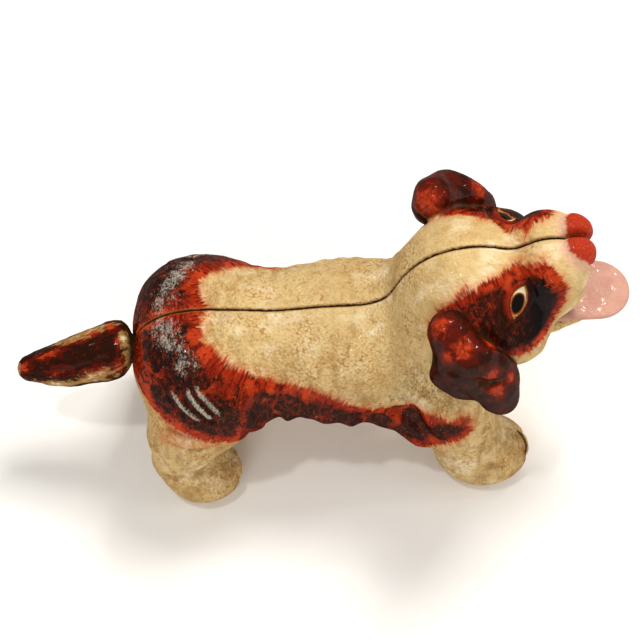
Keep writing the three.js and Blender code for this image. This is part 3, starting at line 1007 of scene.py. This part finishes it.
def brown_coat(paint, strand, broad):
    """The red-brown coat: red at its edge, nearly black within, with grey brushed over it."""
    coat_in, on_face, eye_side = (paint.value(name) for name in ("coat_in", "on_face", "eye_side"))
    mottle = paint.noise(3.2, 5, 0.68, warp=0.5)
    red = paint.mix(paint.rise(strand, 0.36, 0.62), DEEP_RED, RED)
    red = paint.cover(red, paint.rise(paint.ragged(broad, mottle, 1.0), 0.42, 0.66), 0.85, RED_ORANGE)
    deep = paint.add(paint.times(paint.value("dark"), 0.8), paint.times(paint.rise(coat_in, 0.5, 6.0), 0.5))
    deep = paint.add(deep, paint.ragged(paint.spread(strand, 0.7), mottle, 2.3))
    border = paint.add(coat_in, paint.times(on_face, -1.6))
    dark_share = paint.times(paint.rise(deep, 0.34, 0.68), paint.rise(border, 0.3, 2.6))
    bluish = paint.most(paint.times(paint.value("rump"), 0.5), eye_side)
    dark = paint.mix(bluish, BROWN_BLACK, BLUE_BLACK)
    embers = paint.rise(paint.noise(1.3, 5, 0.72, places=paint.stretched(1, 0.6, 0.6)), 0.47, 0.66)
    dark = paint.mix(paint.without(paint.times(embers, 0.9), eye_side), dark, EMBER)
    coat = paint.mix(dark_share, red, dark)
    # Painted shade: darker in the hollows.
    coat = paint.cover(coat, paint.value("dip"), 0.6, BROWN_BLACK)
    # Painted highlights: tan specks on the tops of the coat's pebbled grain.
    tip_highlights = paint.rise(paint.ragged(paint.pebbles(0.9), paint.noise(2.4, 4, 0.7), 1.6), 0.12, -0.1)
    coat = paint.mix(paint.without(paint.times(tip_highlights, 0.45), on_face), coat, TAN)
    dry = paint.noise(0.55, 4, 0.8, places=paint.stretched(1.0, 0.6, 0.55))
    patchy = paint.spread(paint.noise(3.4, 4, 0.65, places=paint.stretched(1, 0.6, 0.7)), 2.0)
    brushed = paint.add(paint.value("frost"), paint.ragged(patchy, dry, 3.0))
    coat = paint.cover(coat, paint.rise(brushed, 0.65, 1.2), 0.66, FROST)
    streaks = paint.rise(paint.ragged(paint.value("streak"), dry, 2.3), 0.34, 0.9)
    return paint.cover(coat, streaks, 0.58, PALE_GREY)


def ear_coat(paint):
    """Nearly black ears with soft red patches, and olive painted shade in the hollows."""
    blotch = paint.ragged(paint.value("ear_red"), paint.noise(3.4, 5, 0.68, warp=0.8), 2.0)
    strands = paint.rise(paint.noise(0.9, 4, 0.65, places=paint.stretched(1, 1, 0.35)), 0.36, 0.64)
    base = paint.mix(paint.rise(blotch, -0.1, 0.45), BROWN_BLACK, DEEP_RED)
    lit = paint.times(paint.rise(blotch, 0.4, 1.0), paint.add(0.35, paint.times(strands, 0.6)))
    base = paint.mix(lit, base, RED_ORANGE)
    # Painted shade: olive in the ear's hollows.
    return paint.cover(base, paint.value("dip"), 0.3, OLIVE)


def nose_paint(paint, base):
    """The red nose with its pink edge over the paint so far, and where it is."""
    on_nose = paint.ragged(paint.value("on_nose"), paint.noise(1.5, 2), 0.8)
    base = paint.cover(base, paint.rise(on_nose, -3.0, 0.2), 0.5, PINK)
    share = paint.rise(on_nose, 0.0, 0.5)
    pebbled = paint.mix(paint.rise(paint.pebbles(0.9), 0.0, 0.34), CORAL, NOSE_RED)
    return paint.mix(share, base, pebbled), share


def eye_paint(paint, base):
    """The eye over the paint so far, and where it is glossy."""
    down, over = paint.value("eye_down"), paint.value("eye_over")
    reach = paint.times(down, 1 / EYE["long"])
    lens = paint.add(paint.times(reach, reach), paint.times(paint.math("ABSOLUTE", over), 1 / EYE["wide"]))

    def oval(long, wide):
        along = paint.times(paint.minus(down, EYE["ball_down"]), 1 / long)
        across = paint.times(over, 1 / wide)
        return paint.math("SQRT", paint.add(paint.times(along, along), paint.times(across, across)))

    behind = paint.times(paint.rise(lens, 2.1, 1.4), paint.rise(over, -0.4, 1.6))
    base = paint.cover(base, behind, 0.7, RED)
    base = paint.cover(base, paint.rise(lens, 1.3, 1.15), 0.8, DEEP_RED)
    base = paint.mix(paint.rise(lens, 1.08, 0.98), base, paint.mix(paint.noise(0.8, 1), OCHRE, TAN))
    white = paint.times(paint.rise(lens, 0.88, 0.78), paint.rise(down, 0.5, -1.5))
    base = paint.mix(white, base, PALE_CREAM)
    base = paint.mix(paint.rise(oval(*EYE["iris"]), 1.0, 0.88), base, IRIS)
    base = paint.mix(paint.rise(oval(*EYE["pupil"]), 1.0, 0.86), base, PUPIL)
    return base, paint.rise(lens, 1.15, 0.95)


@functools.cache
def casting_paint():
    paint = Paint("enamel_on_cast_iron")
    fine = coat_strokes(paint, 0.7, 5)
    broad = coat_strokes(paint, 2.8, 3)
    strand = coat_strokes(paint, 0.6, 9)
    wander = paint.ragged(paint.spread(fine, 3.6), broad, 4.0)
    edge = paint.add(paint.value("coat_in"), paint.ragged(wander, paint.noise(5, 3), 3.5))
    covered = paint.rise(edge, -0.9, 0.9)
    base = paint.cover(cream_coat(paint), paint.rise(edge, -3.4, 0.4), 0.4, ORANGE)
    base = paint.cover(base, paint.value("pink"), 0.4, ORANGE)
    base = paint.mix(covered, base, brown_coat(paint, strand, broad))
    base = paint.cover(base, paint.value("smile"), 0.75, RED)
    on_ear = paint.value("on_ear")
    # Painted shade: a dark line down the brow's groove.
    brow_shade = paint.without(paint.rise(paint.value("brow"), 1.1, 0.0), on_ear)
    base = paint.cover(base, brow_shade, 0.8, BROWN_BLACK)
    base = paint.mix(on_ear, base, ear_coat(paint))
    base, on_nose = nose_paint(paint, base)
    base, on_eye = eye_paint(paint, base)

    seam = paint.ragged(paint.value("seam"), paint.noise(1.3, 3, 0.7), 0.7)
    gap = paint.rise(seam, 0.5, 0.2)
    base = paint.cover(base, paint.rise(seam, 1.0, 0.5), 0.6, OCHRE)
    base = paint.mix(gap, base, SEAM_BROWN)
    inner = paint.rise(paint.value("depth"), 0.9, 1.6)
    base = paint.mix(inner, base, paint.mix(paint.noise(3, 4), RUST, SEAM_BROWN))
    chip = paint.ragged(paint.value("chip"), paint.noise(1.4, 3, 0.7), 0.9)
    base = paint.cover(base, paint.rise(chip, 0.45, 0.62), 0.9, SEAM_BROWN)

    gloss = paint.most(paint.most(paint.times(covered, 0.6), on_ear), paint.most(on_nose, on_eye))
    gloss = paint.without(gloss, paint.most(inner, gap))
    rough = paint.ragged(paint.minus(0.5, paint.times(gloss, 0.3)), paint.noise(2.5, 3), 0.16)
    smooth = paint.most(paint.times(covered, 0.65), paint.times(paint.value("head"), 0.55))
    smooth = paint.most(smooth, paint.times(paint.most(on_ear, on_eye), 0.8))
    pebble = paint.without(paint.pebbles(0.9), smooth)
    heights = [(pebble, 0.55), (paint.noise(0.5, 3, 0.6), 0.16), (paint.times(strand, covered), 0.1)]
    sheen = paint.without(paint.add(0.015, paint.times(gloss, 0.065)), inner)
    return paint.finish(base, rough, heights, coat=sheen)


@functools.cache
def tail_paint():
    paint = Paint("tail_enamel")
    along, turn = paint.value("along"), paint.value("round")
    twisted = paint.add(paint.times(turn, 2.6), paint.times(along, 1.1))
    flow = paint.vector(paint.times(along, 3.2), twisted, 0.0)
    streak = paint.noise(0.55, 4, 0.65, places=flow, warp=0.6)
    fine = paint.noise(0.2, 3, 0.6, places=flow)
    mottle = paint.noise(1.6, 5, 0.72, places=paint.stretched(0.6, 1, 1))
    reds = paint.add(paint.value("red"), paint.ragged(paint.spread(streak, 1.3), mottle, 2.2))
    base = paint.mix(paint.rise(reds, 0.1, 0.5), BROWN_BLACK, DEEP_RED)
    base = paint.cover(base, paint.rise(reds, 0.6, 0.95), 0.8, RED_ORANGE)
    pales = paint.add(paint.value("pale"), paint.ragged(paint.spread(streak, 1.2), mottle, -2.2))
    base = paint.cover(base, paint.rise(pales, 0.35, 0.75), 0.75, TAN)
    base = paint.cover(base, paint.rise(pales, 0.85, 1.2), 0.7, PALE_CREAM)
    # Painted shade: darker in the tail's hollows.
    base = paint.cover(base, paint.value("dip"), 0.7, BROWN_BLACK)
    base = paint.mix(paint.value("shaft"), base, SEAM_BROWN)
    rough = paint.add(0.3, paint.times(paint.noise(3, 3), 0.25))
    return paint.finish(base, rough, [(fine, 0.3), (paint.noise(0.7, 3), 0.12)], coat=0.04)


@functools.cache
def tongue_paint():
    paint = Paint("tongue_enamel")
    base = paint.mix(paint.rise(paint.noise(7, 3), 0.35, 0.7), TONGUE_PINK, TONGUE_DULL)
    # Painted highlights: lighter dots on the tongue's pebbles.
    base = paint.cover(base, paint.rise(paint.pebbles(1.1), 0.35, 0.05), 0.3, TONGUE_HIGHLIGHT)
    base = paint.mix(paint.value("plate"), SEAM_BROWN, base)
    heights = [(paint.pebbles(1.2), 0.28), (paint.noise(0.6, 3), 0.1)]
    return paint.finish(base, 0.36, heights, coat=0.07)


@functools.cache
def old_steel():
    paint = Paint("old_steel")
    rusty = paint.rise(paint.noise(2.5, 4, 0.65), 0.48, 0.66)
    base = paint.mix(rusty, STEEL, STEEL_RUST)
    paint.link(paint.minus(1.0, paint.times(rusty, 0.8)), paint.shader.inputs["Metallic"])
    rough = paint.add(0.34, paint.times(rusty, 0.4))
    scratches = paint.noise(0.5, 2, places=paint.stretched(1, 0.2, 1))
    return paint.finish(base, rough, [(scratches, 0.05), (paint.noise(0.8, 3), 0.08)])


def steel_node(name):
    """A CAD node that is right as it is: softened edges and old steel."""
    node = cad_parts[name]
    bevel = node.modifiers.new("edges", "BEVEL")
    bevel.width = 0.25 * MM
    bevel.segments = 2
    bevel.limit_method = "ANGLE"
    bevel.angle_limit = math.radians(40)
    node.data.materials.clear()
    node.data.materials.append(old_steel())
    node.data.shade_smooth()


# ---- The stage ----

VIEW = {"target": (1, 0, 60.6), "azimuth": -3.5, "elevation": 60, "distance": 500, "lens": 90.73}


def camera():
    turn, lift = math.radians(VIEW["azimuth"]), math.radians(VIEW["elevation"])
    back = Vector((math.sin(turn) * math.cos(lift), -math.cos(turn) * math.cos(lift), math.sin(lift)))
    data = bpy.data.cameras.new("camera")
    data.lens = VIEW["lens"]
    data.clip_end = 10
    made = in_scene("camera", data)
    made.location = (Vector(VIEW["target"]) + back * VIEW["distance"]) * MM
    made.rotation_euler = (-back).to_track_quat("-Z", "Y").to_euler()
    bpy.context.scene.camera = made


def area_light(name, place, size, power, shines=False):
    """A rectangular light, in metres, that points at the dog; only small ones are seen as glints."""
    data = bpy.data.lights.new(name, "AREA")
    data.shape = "RECTANGLE"
    data.size, data.size_y = size
    data.energy = power
    data.color = (1, 0.97, 0.92)
    made = in_scene(name, data)
    made.location = place
    made.visible_glossy = shines
    aim = Vector((0, 0, 0.05)) - Vector(place)
    made.rotation_euler = aim.to_track_quat("-Z", "Y").to_euler()


def floor():
    """A wide pale floor with a faint unevenness."""
    half = 4.0
    mesh = bpy.data.meshes.new("floor")
    corners = [(-half, -half, 0), (half, -half, 0), (half, half, 0), (-half, half, 0)]
    mesh.from_pydata(corners, [], [(0, 1, 2, 3)])
    made = in_scene("floor", mesh)
    paint = Paint("pale_floor")
    base = paint.mix(paint.noise(60, 2), FLOOR, FLOOR_PALE)
    mesh.materials.append(paint.finish(base, 0.9, [(paint.noise(4, 2), 0.02)]))


def surroundings():
    world = bpy.data.worlds.new("surroundings")
    world.use_nodes = True
    sky = world.node_tree.nodes["Background"]
    sky.inputs["Color"].default_value = (1, 0.97, 0.93, 1)
    sky.inputs["Strength"].default_value = 0.36
    bpy.context.scene.world = world
    bpy.context.scene.view_settings.view_transform = "Standard"


def lights():
    area_light("key", (0.25, 0.35, 0.9), (0.3, 0.3), 5.7)
    area_light("front", (-0.3, -0.9, 0.7), (0.6, 0.4), 4.1)
    area_light("side", (0.9, -0.2, 0.5), (0.3, 0.4), 1.5)
    area_light("glint_above", (-0.25, -0.15, 1.0), (0.05, 0.05), 1.8, shines=True)
    area_light("glint_ahead", (0.87, 0.1, 0.66), (0.08, 0.08), 0.9, shines=True)
    area_light("glint_beyond", (0.2, 0.5, 0.95), (0.08, 0.05), 0.9, shines=True)


casting("left_casting", 1).name = "left_casting_painted"
casting("right_casting", -1).name = "right_casting_painted"
tail()
tongue()
for steel_name in ("tail_pin", "tongue_pin", "link", *SCREWS):
    steel_node(steel_name)
floor()
surroundings()
lights()
camera()
